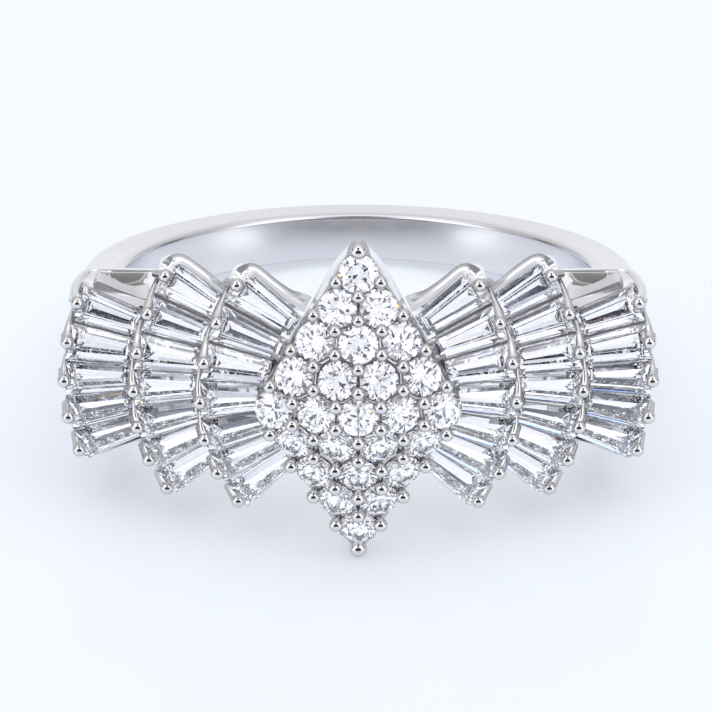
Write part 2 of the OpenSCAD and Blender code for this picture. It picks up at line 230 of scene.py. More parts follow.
polished_gold = white_gold("rhodium_plated_white_gold", (0.88, 0.875, 0.89), (0.05, 0.11), edge=0.75)
soft_gold = white_gold("hand_polished_edges", (0.92, 0.92, 0.94), (0.16, 0.24), metal=0.72)
inside_gold = white_gold("finger_side", (0.75, 0.745, 0.77), (0.16, 0.24))
bead_gold = white_gold("burnished_bead", (0.78, 0.77, 0.765), (0.02, 0.05), edge=0.5)
# The seats' white gold is darker than the polished metal: painted shade for the shade in the seats under the
# round stones.
painted_shade_seat_gold = white_gold("bright_cut_seat_with_painted_shade", (0.64, 0.62, 0.61), (0.12, 0.24), edge=0.6)
raw_gold = white_gold("casting_inside", (0.80, 0.78, 0.75), (0.36, 0.48), edge=0.7, metal=0.6)
# The galleries' white gold is darker than the polished metal: painted shade under the stones and between the
# fans.
painted_shade_gallery_gold = white_gold("gallery_painted_shade_under_the_stones", (0.62, 0.61, 0.61), (0.26, 0.38), edge=0.6)
metals = (polished_gold, soft_gold, inside_gold, bead_gold, painted_shade_seat_gold, raw_gold, painted_shade_gallery_gold)
print("metals:", [metal.name for metal in metals])

# %% [markdown]
# Diamond bends light more than almost any other clear stone, with an index of 2.42. That index and flat
# facets give the black and white play of a real stone. Glass with a lower index would look like a
# window. A trace of cloud in the colour keeps it from being a single flat value.

# %% Diamond
DIAMOND_INDEX = 2.42
CLOUDS_IN_STONE = 420


def clear_stone(name, tint):
    material, nodes, links, shader = node_material(name)
    shader.inputs["IOR"].default_value = DIAMOND_INDEX
    shader.inputs["Transmission Weight"].default_value = 1.0
    cloud = noise_node(nodes, links, CLOUDS_IN_STONE, 2.0)
    pale = tuple(0.985 * v for v in tint)
    colour = ramp_node(nodes, links, cloud.outputs["Fac"], [(0.3, pale), (0.7, tint)])
    links.new(colour.outputs["Color"], shader.inputs["Base Color"])
    shader.inputs["Roughness"].default_value = 0.0
    return material


round_diamond = clear_stone("round_brilliant_diamond", (0.99, 0.995, 1.0))
baguette_diamond = clear_stone("step_cut_diamond", (0.975, 0.985, 1.0))
print("stones:", round_diamond.name, baguette_diamond.name)

# %% [markdown]
# The wings are terraces. Each wing has three fans of baguettes, and each fan turns about a point of its
# own and lies one step lower than the one before. The fans' numbers are the CAD's. A stone's frame has
# one direction outwards along the stone, one across it and one up out of its table, with the prong at
# the origin.

# %% Where the stones of a fan stand
ARCH_RADIUS = 8.6
STONE_LENGTH = 2.0
FANS = {
    "inner": dict(count=7, centre=-1.25, radius=6.70, turn=11.9, level=9.85, lean=4, wide=1.27, narrow=0.87,
                  inner_depth=2.0, rail_depth=1.05),
    "middle": dict(count=7, centre=0.40, radius=7.37, turn=10.5, level=8.65, lean=4, wide=1.25, narrow=0.89,
                   inner_depth=2.4, rail_depth=1.00),
    "outer": dict(count=5, centre=2.40, radius=7.80, turn=10.0, level=7.55, lean=0, wide=1.26, narrow=0.92,
                  inner_depth=2.2, rail_depth=1.80),
}
SIDES = {"left": -1, "right": 1}


class FanPlace:
    """The frame of one stone. turn_count is counted in stones from the fan's middle upwards."""

    def __init__(self, fan, turn_count, mirror=1):
        angle = math.radians(fan["turn"] * turn_count)
        reach = fan["radius"] - STONE_LENGTH / 2 - 0.2
        roll = math.asin(reach * math.sin(angle) / ARCH_RADIUS)
        height = fan["radius"] * math.sin(angle)
        fall = ARCH_RADIUS - math.sqrt(ARCH_RADIUS ** 2 - height ** 2)
        outwards = np.array([math.cos(angle), 0, math.sin(angle)])
        across = np.array([-math.sin(angle) * math.cos(roll), math.sin(roll),
                           math.cos(angle) * math.cos(roll)])
        upwards = np.cross(outwards, across)
        tip = math.radians(fan["lean"])
        sideways = fan["centre"] + fan["radius"] * math.cos(angle)
        self.origin = np.array([sideways, fall - fan["level"], height])
        self.along = outwards * math.cos(tip) + upwards * math.sin(tip)
        self.across = across
        self.up = upwards * math.cos(tip) - outwards * math.sin(tip)
        self.mirror = np.array([mirror, 1, 1])

    def point(self, along, across, up):
        place = self.origin + along * self.along + across * self.across + up * self.up
        return place * self.mirror


def top_turn(fan):
    """The highest stone's place in its fan."""
    return (fan["count"] - 1) / 2


for fan_name, fan in FANS.items():
    print(fan_name, "fan, highest stone's prong at", FanPlace(fan, top_turn(fan)).origin.round(2))

# %% [markdown]
# A tapered baguette is a step cut. Its facets run parallel to its edges in bands, and its pavilion
# closes in a keel. Insets from the girdle give each band, so the facets of a band stay flat although
# the stone tapers. The keel falls towards the wide end, because its last two facets keep their slope.

# %% Cutting the baguettes
BAGUETTE_OUT = -0.03
BAGUETTE_IN = -2.34
BAGUETTE_LONG = -2.62
CROWN_STEPS = [(0.0, 0.21), (-0.09, 0.10), (-0.17, 0.0)]
PAVILION_STEPS = [(-0.22, 0.0), (-0.42, 0.16), (-0.55, 0.28)]
KEEL_SLOPE = 0.90
KEEL_SHORT_IN = 0.40
KEEL_SHORT_OUT = 0.62
WIDE_AT = -0.2
LONG_BEYOND = 1.5


def baguette_half_width(fan, along):
    """Half of a stone's width at its girdle, which the taper changes along its length."""
    share = (along - BAGUETTE_IN) / (WIDE_AT - BAGUETTE_IN)
    return (fan["narrow"] + (fan["wide"] - fan["narrow"]) * share) / 2


def baguette_outline(fan, inner_end, level, inset):
    """Corners of one band's edge, as (along, across, up)."""
    near = inner_end + inset
    far = BAGUETTE_OUT - inset
    near_half = baguette_half_width(fan, near) - inset
    far_half = baguette_half_width(fan, far) - inset
    return [(near, -near_half, level), (far, -far_half, level),
            (far, far_half, level), (near, near_half, level)]


def cut_baguette(fan, inner_end, place):
    """One stone: a table, bands down its crown and pavilion, and a keel from two corners."""
    outlines = [baguette_outline(fan, inner_end, *step) for step in CROWN_STEPS + PAVILION_STEPS]
    last_level, last_inset = PAVILION_STEPS[-1]
    keel = []
    for along in (inner_end + KEEL_SHORT_IN, BAGUETTE_OUT - KEEL_SHORT_OUT):
        half = baguette_half_width(fan, along) - last_inset
        keel.append((along, 0, last_level - KEEL_SLOPE * half))
    shape = Shape()
    corners = [corner for outline in outlines for corner in outline]
    faces = loft_faces(outlines)[:-1]
    first = 4 * (len(outlines) - 1)
    near, far = len(corners), len(corners) + 1
    faces += [
        (first, first + 1, far, near),
        (first + 1, first + 2, far),
        (first + 2, first + 3, near, far),
        (first + 3, first, near),
    ]
    shape.add([place.point(*corner) for corner in corners + keel], faces)
    return shape


stone_count = 0
for side, mirror in SIDES.items():
    for fan_name, fan in FANS.items():
        for number in range(1, fan["count"] + 1):
            turn_count = top_turn(fan) - number + 1
            place = FanPlace(fan, turn_count, mirror)
            reaches_lozenge = fan_name == "inner" and abs(turn_count) > LONG_BEYOND
            inner_end = BAGUETTE_LONG if reaches_lozenge else BAGUETTE_IN
            name = f"{side}_{fan_name}_{number}"
            piece = make_piece("cut_baguette_" + name, cut_baguette(fan, inner_end, place), baguette_diamond,
                               flat=True)
            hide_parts("baguette_" + name)
            stone_count += 1
print("baguettes cut:", stone_count)

# %% [markdown]
# The lozenge is a dome. It falls away from its middle to all sides, so each round stone faces its own
# way. The same two falls give the place and the direction of every stone and prong on it.

# %% The lozenge's dome
CROWN_FRONT = 11.7
FALL_UP = 0.40
FALL_SIDE = 0.33
DOME_ROUND = 0.6


def dome_front(x, z):
    """How far to the front the dome stands at a place on it."""
    def ramp(distance, fall):
        return fall * (np.sqrt(distance * distance + DOME_ROUND ** 2) - DOME_ROUND)
    return CROWN_FRONT - ramp(x, FALL_SIDE) - ramp(z, FALL_UP)


class DomePlace:
    """A frame on the dome: side to side, upwards, and out of the dome."""

    def __init__(self, x, z):
        slope_x = FALL_SIDE * x / math.hypot(x, DOME_ROUND)
        slope_z = FALL_UP * z / math.hypot(z, DOME_ROUND)
        out = np.array([slope_x, -1, slope_z])
        self.out = out / np.linalg.norm(out)
        side = np.cross((0, 0, 1), self.out)
        self.side = side / np.linalg.norm(side)
        self.high = np.cross(self.out, self.side)
        self.origin = np.array([x, -dome_front(x, z), z])

    def point(self, side, high, out):
        return self.origin + side * self.side + high * self.high + out * self.out


ROWS = [(0, (0, 1.50, 2.97)), (1.24, (0.76, 2.26)), (2.44, (0, 1.55)), (3.56, (0.76,)), (4.69, (0,))]


def both_ways(value):
    """A place and its mirror image, or one place in the middle."""
    return (-value, value) if value else (0,)


ROUND_STONES = [(sx, sz) for z, xs in ROWS for x in xs for sx in both_ways(x) for sz in both_ways(z)]
print("round stones:", len(ROUND_STONES), "from", ROUND_STONES[0])

# %% [markdown]
# A round brilliant has 57 facets: a table, 8 stars, 8 kites and 16 upper halves on its crown, and 16
# lower halves and 8 mains below its girdle. The angles are what make it bright: here about 32 degrees
# above the girdle, which the crown's height gives, and 42 below. The facets stay flat and sharp.

# %% Cutting the round stones
ROUND_RADIUS = 0.69
TABLE_SHARE = 0.56
STAR_SHARE = 0.79
LOWER_SHARE = 0.27
CROWN_HEIGHT = 0.19
GIRDLE = 0.03
PAVILION_ANGLE = 42.2
PAVILION_HEIGHT = ROUND_RADIUS * math.tan(math.radians(PAVILION_ANGLE))


def circle_points(count, radius, start, level):
    """Points evenly round a circle, the first at an angle in degrees."""
    angles = np.radians(start + np.arange(count) * 360 / count)
    return [(radius * math.cos(a), radius * math.sin(a), level) for a in angles]


def brilliant():
    """Corners and facets of one brilliant with its table at the origin."""
    flat_side = math.cos(math.radians(22.5))
    star_fall = CROWN_HEIGHT * (STAR_SHARE * flat_side - TABLE_SHARE) / (1 - TABLE_SHARE)
    girdle_low = CROWN_HEIGHT + GIRDLE
    lower_fall = girdle_low + PAVILION_HEIGHT * (1 - LOWER_SHARE * flat_side)
    corners = circle_points(8, ROUND_RADIUS * TABLE_SHARE, 0, 0)
    corners += circle_points(8, ROUND_RADIUS * STAR_SHARE, 22.5, -star_fall)
    corners += circle_points(16, ROUND_RADIUS, 0, -CROWN_HEIGHT)
    corners += circle_points(16, ROUND_RADIUS, 0, -girdle_low)
    corners += circle_points(8, ROUND_RADIUS * LOWER_SHARE, 22.5, -lower_fall)
    corners += [(0, 0, -girdle_low - PAVILION_HEIGHT)]
    star, upper, under, lower, culet = 8, 16, 32, 48, 56
    facets = [tuple(range(8))]
    for k in range(8):
        facets.append((k, (k + 1) % 8, star + k))
        facets.append((k, star + k, upper + 2 * k, star + (k + 7) % 8))
        facets.append((star + k, upper + 2 * k + 1, upper + 2 * k))
        facets.append((star + k, upper + (2 * k + 2) % 16, upper + 2 * k + 1))
        facets.append((lower + k, under + 2 * k, under + 2 * k + 1))
        facets.append((lower + k, under + 2 * k + 1, under + (2 * k + 2) % 16))
        facets.append((culet, lower + (k + 7) % 8, under + 2 * k, lower + k))
    for j in range(16):
        facets.append((upper + j, upper + (j + 1) % 16, under + (j + 1) % 16, under + j))
    return corners, facets


STONE_TURN = 7
corners, facets = brilliant()
pave = Shape()
for number, (x, z) in enumerate(ROUND_STONES):
    place = DomePlace(x, z)
    turn = math.radians(STONE_TURN * number % 45)
    spun = [(a * math.cos(turn) - b * math.sin(turn), a * math.sin(turn) + b * math.cos(turn), c)
            for a, b, c in corners]
    pave.add([place.point(*p) for p in spun], facets)
pave_stones = make_piece("round_brilliants", pave, round_diamond, flat=True)
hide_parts("pave_stones")
print("facets on the round stones:", len(pave.faces))

# %% [markdown]
# The plate that holds the round stones is drilled and then cut bright, so each stone sits in a cone
# with a thin wall of metal around it. One height for each point of a fine grid gives that surface. The
# grid is a lozenge too, so its rows run along the plate's edges.

# %% The drilled plate
PLATE_HALF_WIDTH = 3.62
PLATE_HALF_HEIGHT = 5.78
PLATE_DROP = 0.26
PLATE_THICK = 0.74
SEAT_EDGE = 0.725
SEAT_SLOPE = 0.92
SEAT_HOLE = 0.08
SEAT_DEEPEST = 0.68
SEAT_REACH = 1.2
HALVINGS = 14
CUT_SIDE = 3.47
CUT_TOP = 5.42
EDGE_ROUND = 0.07
EDGE_SHARE = 0.02
GRID = 190


def seat_depth(place, x, z, surface):
    """How deep a stone's seat cuts below the plate, looking straight back, at each of the points."""
    shallow = np.zeros(len(x))
    deep = np.full(len(x), SEAT_DEEPEST)

    def cut_away(depth):
        spot = np.stack([x, PLATE_DROP + depth - surface, z], 1) - place.origin
        along = spot @ place.out
        aside = np.linalg.norm(spot - along[:, None] * place.out, axis=1)
        cone = (SEAT_EDGE - np.maximum(aside, SEAT_HOLE)) * SEAT_SLOPE
        return -along < PLATE_DROP + cone

    inside = cut_away(shallow)
    for _ in range(HALVINGS):
        middle = (shallow + deep) / 2
        still = cut_away(middle)
        shallow = np.where(still, middle, shallow)
        deep = np.where(still, deep, middle)
    return np.where(inside, shallow, 0)


def lozenge_point(a, b):
    """A point of the lozenge from two shares between -1 and 1, counted along its two slanting directions."""
    x = (a + b) / 2 * PLATE_HALF_WIDTH
    z = (a - b) / 2 * PLATE_HALF_HEIGHT
    return float(np.clip(x, -CUT_SIDE, CUT_SIDE)), float(np.clip(z, -CUT_TOP, CUT_TOP))


plate = Shape()
shares = np.linspace(-1, 1, GRID + 1)
share_a, share_b = np.meshgrid(shares, shares, indexing="ij")
grid_points = np.array([lozenge_point(a, b) for a, b in zip(share_a.ravel(), share_b.ravel())])
grid_x, grid_z = grid_points.T
surface = dome_front(grid_x, grid_z)
depth = np.zeros(len(grid_x))
for spot in ROUND_STONES:
    near = np.hypot(grid_x - spot[0], grid_z - spot[1]) < SEAT_REACH
    cut = seat_depth(DomePlace(*spot), grid_x[near], grid_z[near], surface[near])
    depth[near] = np.maximum(depth[near], cut)
to_edge = 1 - np.maximum(abs(share_a), abs(share_b)).ravel()
rounding = EDGE_ROUND * np.maximum(0, 1 - to_edge / EDGE_SHARE) ** 2
top_points = list(zip(grid_x, PLATE_DROP + depth + rounding - surface, grid_z))
under_points = list(zip(grid_x, PLATE_DROP + PLATE_THICK - surface, grid_z))
side_count = GRID + 1
faces = []
for i in range(GRID):
    for j in range(GRID):
        k = i * side_count + j
        faces.append((k, k + 1, k + side_count + 1, k + side_count))
total = len(top_points)
faces += [tuple(total + k for k in reversed(face)) for face in faces]
rim = list(range(side_count))
rim += [i * side_count + GRID for i in range(1, side_count)]
rim += [GRID * side_count + j for j in range(GRID - 1, -1, -1)]
rim += [i * side_count for i in range(GRID - 1, 0, -1)]
for k, here in enumerate(rim):
    there = rim[(k + 1) % len(rim)]
    faces.append((here, there, total + there, total + here))
plate.add(top_points + under_points, faces)
# The plate's darker metal is painted shade under the round stones.
make_piece("drilled_plate", plate, painted_shade_seat_gold, crisp_angle=50)
print("plate faces:", len(plate.faces))

# %% [markdown]
# Under the plate stands an open box with straight polished sides. Its upper sides show as a bright band
# outside the beads, because the camera looks down on them. They flare a little on the way back, as the
# cast box does.

# %% The lozenge's box
BOX_SIDE_END = 3.05
BOX_SHARE = 0.985
BOX_TIP = 5.25
BOX_WALL = 0.35
BOX_BACK = 8.6
FLARE_HEIGHTS = (2.0, 2.8, 3.4, 4.03, 4.64, 5.0, 5.25)
FLARE = (0.0, 0.03, 0.08, 0.15, 0.21, 0.15, 0.02)
FLARE_STEPS = [(0.14, 0.0), (0.20, 0.22), (0.28, 0.45), (0.40, 0.68), (0.56, 0.86), (0.75, 0.97),
               (0.95, 1.0)]
QUARTER_STOPS = 29
SHRINK_SIDE = 0.9
SHRINK_TOP = 0.35
CORNER_STONE = 1.2
CORNER_EASE = 0.6


def box_outline(shrink, flared=0.0):
    """The lozenge's outline, made smaller by so much or flared by a share, once round."""
    width = PLATE_HALF_WIDTH * BOX_SHARE
    height = PLATE_HALF_HEIGHT * BOX_SHARE
    foot = (BOX_SIDE_END, height * (1 - BOX_SIDE_END / width))
    tip = (width * (1 - BOX_TIP / height), BOX_TIP)
    quarter = []
    for share in np.linspace(0, 1, QUARTER_STOPS):
        x = foot[0] + (tip[0] - foot[0]) * share
        z = foot[1] + (tip[1] - foot[1]) * share
        out = flared * np.interp(z, FLARE_HEIGHTS, FLARE)
        quarter.append((x - SHRINK_SIDE * shrink + out, z - SHRINK_TOP * shrink))
    left_top = [(-x, z) for x, z in reversed(quarter)]
    left_low = [(-x, -z) for x, z in quarter]
    right_low = [(x, -z) for x, z in reversed(quarter)]
    return quarter + left_top + left_low + right_low


def box_ring(shrink, below, flared=0.0):
    """The outline at a depth below the tables. Near the corner stones it stays below their seats."""
    ring = []
    for x, z in box_outline(shrink, flared):
        beside_corner = 1 - smooth_step((abs(z) - CORNER_STONE) / CORNER_EASE)
        clear = (PLATE_DROP + PLATE_THICK - 0.05 + 0.1 * below) * beside_corner
        ring.append((x, max(below, clear) - dome_front(x, z), z))
    return ring


box = Shape()
INTO_PLATE = PLATE_DROP + PLATE_THICK / 2
skirt = [box_ring(0.02, INTO_PLATE - 0.2)]
for depth, flared in FLARE_STEPS:
    skirt.append(box_ring(0.0, PLATE_DROP + depth, flared))
skirt.append([(x, -BOX_BACK - 0.08, z) for x, z in box_outline(0, 1)])
skirt.append([(x, -BOX_BACK, z) for x, z in box_outline(0.08, 1)])
skirt.append([(x, -BOX_BACK, z) for x, z in box_outline(BOX_WALL - 0.06)])
skirt.append([(x, -BOX_BACK - 0.08, z) for x, z in box_outline(BOX_WALL)])
skirt.append(box_ring(BOX_WALL, INTO_PLATE))
box.loft(skirt, closed=True)
make_piece("lozenge_box", box, soft_gold)
print("box points:", len(box.points))

# %% [markdown]
# Each prong is a shaft with a bead on its tip. The shafts run straight back into the metal, so from
# above they show as a drop behind each bead. A bead is a ball with its poles along the shaft, and the
# shaft widens into it.

# %% Prongs with beads
BEAD_RADIUS = 0.245
WING_BEAD = 0.245
BEAD_LIFT = 0.10
PROP = (0.3, 0.1, 0.9)


def bead(shape, centre, axis, radius, rings=10, sides=18):
    """A ball with its poles along an axis."""
    axis = np.asarray(axis, float)
    axis /= np.linalg.norm(axis)
    side = np.cross(axis, PROP)
    side /= np.linalg.norm(side)
    other = np.cross(axis, side)
    outlines = []
    for latitude in np.linspace(-88, 88, rings):
        flat = radius * math.cos(math.radians(latitude))
        height = radius * math.sin(math.radians(latitude))
        outlines.append([centre + axis * height + flat * (math.cos(a) * side + math.sin(a) * other)
                         for a in np.linspace(0, 2 * math.pi, sides, endpoint=False)])
    shape.loft(outlines)


def prong(shape, foot, tip, foot_radius, neck_radius, bead_radius):
    """A shaft that widens from its foot to its neck, with a bead at its tip."""
    foot, tip = np.asarray(foot, float), np.asarray(tip, float)
    shares = np.linspace(0, 1, 8)
    path = [foot + (tip - foot) * share for share in shares]
    radii = [foot_radius + (neck_radius - foot_radius) * share ** 1.6 for share in shares]
    tube(shape, path, radii, sides=16, round_end=False)
    bead(shape, tip, tip - foot, bead_radius)


PAIR_HALF = 0.38
EDGE_OUT = 0.44
POINT_Z = 5.40
PAVE_SHAFT = 0.6
POINT_SHAFT = np.array([0, 0.62, 0])


def gaps_in_row(xs):
    """The middles between the stones of a row, on its right half."""
    middle = [0] if xs[0] else []
    return middle + [(a + b) / 2 for a, b in zip(xs, xs[1:])]


lozenge_beads = []
for z, xs in ROWS:
    for x in gaps_in_row(xs):
        for sx in both_ways(x):
            for sz in both_ways(z):
                lozenge_beads += [(sx, sz - PAIR_HALF), (sx, sz + PAIR_HALF)]
for (z_low, low), (z_high, high) in zip(ROWS, ROWS[1:]):
    start = np.array([low[-1], z_low])
    run = np.array([high[-1], z_high]) - start
    out = np.array([run[1], -run[0]]) / np.linalg.norm(run)
    x, z = start + run / 2 + out * EDGE_OUT
    lozenge_beads += [(sx, sz) for sx in (-x, x) for sz in (-z, z)]
pave_prongs = Shape()
for x, z in lozenge_beads:
    place = DomePlace(x, z)
    foot = place.point(0, 0, -PAVE_SHAFT)
    prong(pave_prongs, foot, place.point(0, 0, BEAD_LIFT), 0.12, 0.20, BEAD_RADIUS)
for z in (-POINT_Z, POINT_Z):
    place = DomePlace(0, z)
    tip = place.point(0, 0, 0.03)
    prong(pave_prongs, tip + POINT_SHAFT, tip, 0.25, 0.28, 0.295)
make_piece("lozenge_prongs", pave_prongs, bead_gold)
print("beads on the lozenge:", len(lozenge_beads) + 2)

# %% [markdown]
# A fan's gallery is a low wall behind the stones' narrow ends, a rail that carries the prongs at their
# wide ends, bars under the gaps, and a polished wall above the highest stone. Walls and rails follow
# the fan in an arc. Their section is a small rounded box, because cast walls come back from polishing
# with soft edges.

# %% Galleries of the wings
def rounded_box(low, high, bottom, top, radius, steps=3):
    """A rounded rectangle between two places along and two heights."""
    corners = [(high, top, 0), (low, top, 90), (low, bottom, 180), (high, bottom, 270)]
    outline = []
    for a, b, start in corners:
        centre_a = a - radius if start in (0, 270) else a + radius
        centre_b = b - radius if start in (0, 90) else b + radius
        for angle in np.radians(np.linspace(start, start + 90, steps + 1)):
            outline.append((centre_a + radius * math.cos(angle), centre_b + radius * math.sin(angle)))
    return outline


INNER_FACE = -2.24
RAIL_FACE = -0.10
RAIL_BACK = 0.04
WALL = 0.14
RAIL_TOP = -0.95
WALL_TOP = -0.56
WALL_RISE = 1.3
WALL_END = 1.0
END_WALL_STOPS = 48
END_WALL_HALF = 0.155
END_WALL_TOP = -0.05
INNER_WIDER = 0.12
ARM_DEPTH = 0.55


def smooth_path(corners, count):
    """A smooth curve through a few points, with evenly counted stops."""
    corners = np.asarray(corners, float)
    padded = np.vstack([2 * corners[0] - corners[1], corners, 2 * corners[-1] - corners[-2]])
    stops = []
    for u in np.linspace(0, len(corners) - 1, count):
        i = min(int(u), len(corners) - 2)
        f = u - i
        p0, p1, p2, p3 = padded[i:i + 4]
        stops.append(0.5 * (2 * p1 + (p2 - p0) * f + (2 * p0 - 5 * p1 + 4 * p2 - p3) * f * f
                            + (3 * p1 - p0 - 3 * p2 + p3) * f ** 3))
    return np.array(stops)


def wall_section(half, top, depth, steps=6):
    """A wall's outline. Its outer top edge is well rounded, and its inner one stays close to the stone."""
    outline = [(-half, -depth), (-half, top - 0.05)]
    for angle in np.radians(np.linspace(180, 90, 3)):
        outline.append((-half + 0.05 + 0.05 * math.cos(angle), top - 0.05 + 0.05 * math.sin(angle)))
    round_by = 1.5 * half
    for angle in np.radians(np.linspace(90, 0, steps + 1)):
        outline.append((half - round_by + round_by * math.cos(angle),
                        top - round_by + round_by * math.sin(angle)))
    outline.append((half, -depth))
    return outline


def end_wall(shape, name, mirror):
    """The wall above the highest stone. It rounds the stone's corner and comes down to the first bead."""
    fan = FANS[name]
    place = FanPlace(fan, top_turn(fan), mirror)
    wide = baguette_half_width(fan, BAGUETTE_OUT)
    narrow = baguette_half_width(fan, BAGUETTE_IN)
    if name == "inner":
        start = [(-2.52, narrow + 0.28), (-2.20, narrow + 0.26), (-1.78, narrow + 0.23)]
    else:
        start = [(INNER_FACE - WALL, narrow + 0.14),
                 (INNER_FACE + 0.5, narrow + 0.16 + 0.2 * (wide - narrow))]
    beside_stone = [(-1.1, (wide + narrow) / 2 + 0.19), (-0.42, wide + 0.15)]
    round_corner = [(-0.13, wide + 0.09), (0.03, wide - 0.12)]
    to_bead = [(0.04, 0.28), (0.01, 0.10)]
    path = smooth_path(start + beside_stone + round_corner + to_bead, END_WALL_STOPS)
    ahead = np.gradient(path, axis=0)
    ahead /= np.linalg.norm(ahead, axis=1)[:, None]
    outlines = []
    sideways = 1 if ahead[2][0] > 0 else -1
    for step, (spot, way) in enumerate(zip(path, ahead)):
        done = step / (len(path) - 1)
        arm = smooth_step((done - 0.66) / 0.28)
        wider = INNER_WIDER * smooth_step((0.45 - done) / 0.45) if name == "inner" else 0
        half = END_WALL_HALF + 0.02 * arm + wider
        top = END_WALL_TOP - 0.10 * math.sin(math.pi * arm)
        depth = fan["rail_depth"] + (ARM_DEPTH - fan["rail_depth"]) * arm
        side = np.array([-way[1], way[0]])
        outlines.append([place.point(*(spot + side * (a + sideways * wider)), b)
                         for a, b in wall_section(-half, top, depth)])
    shape.loft(outlines)


def gallery(name, mirror):
    """Inner wall, rail and bars. The wall's ends rise, so that they don't stand out behind the stones."""
    fan = FANS[name]
    shape = Shape()
    top = top_turn(fan) + 0.5
    outlines = []
    for t in np.linspace(-top, top + 0.02, 36):
        rise = 0 if name == "outer" else smooth_step((abs(t) - top) / WALL_RISE + 1)
        depth = fan["inner_depth"] + (WALL_END - fan["inner_depth"]) * rise
        section = rounded_box(INNER_FACE - WALL, INNER_FACE, -depth, WALL_TOP, 0.05)
        outlines.append([FanPlace(fan, t, mirror).point(a, 0, b) for a, b in section])
    shape.loft(outlines)
    section = rounded_box(RAIL_FACE, RAIL_BACK, -fan["rail_depth"], RAIL_TOP, 0.08)
    stations = np.linspace(-top_turn(fan) - 0.1, top - 0.1, 44)
    shape.loft([[FanPlace(fan, t, mirror).point(a, 0, b) for a, b in section] for t in stations])
    for t in np.arange(1 - top, top):
        place = FanPlace(fan, t, mirror)
        section = rounded_box(-0.08, 0.08, -0.75, -0.48, 0.03, 2)
        ends = (INNER_FACE - 0.1, RAIL_FACE + 0.1)
        shape.loft([[place.point(along, a, b) for a, b in section] for along in ends])
    return shape


for side, mirror in SIDES.items():
    for fan_name, fan in FANS.items():
        # The galleries' darker metal is painted shade under the stones.
        make_piece(f"gallery_{side}_{fan_name}", gallery(fan_name, mirror), painted_shade_gallery_gold)
        if fan_name != "outer":
            wall = Shape()
            end_wall(wall, fan_name, mirror)
            make_piece(f"end_wall_{side}_{fan_name}", wall, soft_gold)
print("galleries:", len(SIDES) * len(FANS))

# %% [markdown]
# Every stone of a fan has one prong at its wide end. A tail like a drop comes down from the next higher
# prong and widens into the bead, so the row of beads reads as one chain. The tails are shorter towards the
# lowest stone, where a long one would stand out as a hook.

# %% Prongs of the wings
TAIL = [(0.76, 0.05, -0.52), (0.48, 0.06, -0.30), (0.22, 0.05, -0.12), (0.03, 0.02, 0.04)]
TAIL_STOPS = 16
WING_SHAFT = (0.10, 0, -0.95)
wing_prongs = Shape()
for side, mirror in SIDES.items():
    for fan_name, fan in FANS.items():
        top = top_turn(fan)
        for t in np.arange(-top, top + 1):
            place = FanPlace(fan, t, mirror)
            foot = place.point(*WING_SHAFT)
            prong(wing_prongs, foot, place.point(0, 0, BEAD_LIFT), 0.15, 0.22, WING_BEAD)
            if t < top:
                grown = smooth_step((t + top - 0.5) / 3)
                reach = 0.5 + 0.5 * grown
                inwards = 0.10 * (1 - grown)
                tail = []
                for turn, along, up in TAIL:
                    tail.append(FanPlace(fan, t + reach * turn, mirror).point(along - inwards, 0, up))
                tail_radii = np.linspace(0.055, 0.205, TAIL_STOPS)
                tube(wing_prongs, smooth_path(tail, TAIL_STOPS), tail_radii, sides=12, round_end=False)
make_piece("wing_prongs", wing_prongs, bead_gold)
print("prongs on the wings:", 2 * sum(fan["count"] for fan in FANS.values()))

# %% [markdown]
# The shank is one sweep. It starts at the right shoulder's head end, runs straight back to the finger's
# axis, goes round the back of the finger and comes forward again on the left. At each stop the outline
# has a crowned outer face, soft corners and a flat inner face. Towards the head it widens, and its
# walls sink towards the outer fan.

# %% The shank and its shoulders
BORE = 8.5
BAND_BACK = 1.7
BAND_SIDE = 2.5
BAND_OUTER_BACK = 9.95
BAND_OUTER_SIDE = 10.148
BAND_SIDE_MORE = 0.198
BAND_MIDDLE = 9.7
CROWN_FALL = 0.335
SHOULDER_STOPS = 30
SHOULDER_X = 9.88
SHOULDER_FRONT = 6.35
SHOULDER_WIDTH = 6.4
SHOULDER_IN = 7.2
RAIL_FRONT = 5.12


def band_half_width(front):
    """Half of the band's width, which grows evenly from the back to the front."""
    return (BAND_SIDE + (BAND_SIDE - BAND_BACK) * front / BAND_OUTER_BACK) / 2


def shank_outline(inner, outer, half, inner_half, edge, power, soft=0.16):
    """An outline as (distance, height): up the crowned outer face and down the inner face."""
    outline = []
    for v in np.sin(np.linspace(-math.pi / 2, math.pi / 2, 25)):
        outline.append((outer - edge * abs(v) ** power, half * v))
    start_x, start_z = outline[-1]
    for share in (0.25, 0.5, 0.75):
        outline.append((start_x + (inner + soft - start_x) * share,
                        start_z + (inner_half - start_z) * share))
    for angle in np.radians(np.linspace(90, 180, 5)):
        outline.append((inner + soft + soft * math.cos(angle), inner_half - soft + soft * math.sin(angle)))
    lower = [(x, -z) for x, z in reversed(outline[25:])]
    return outline + lower


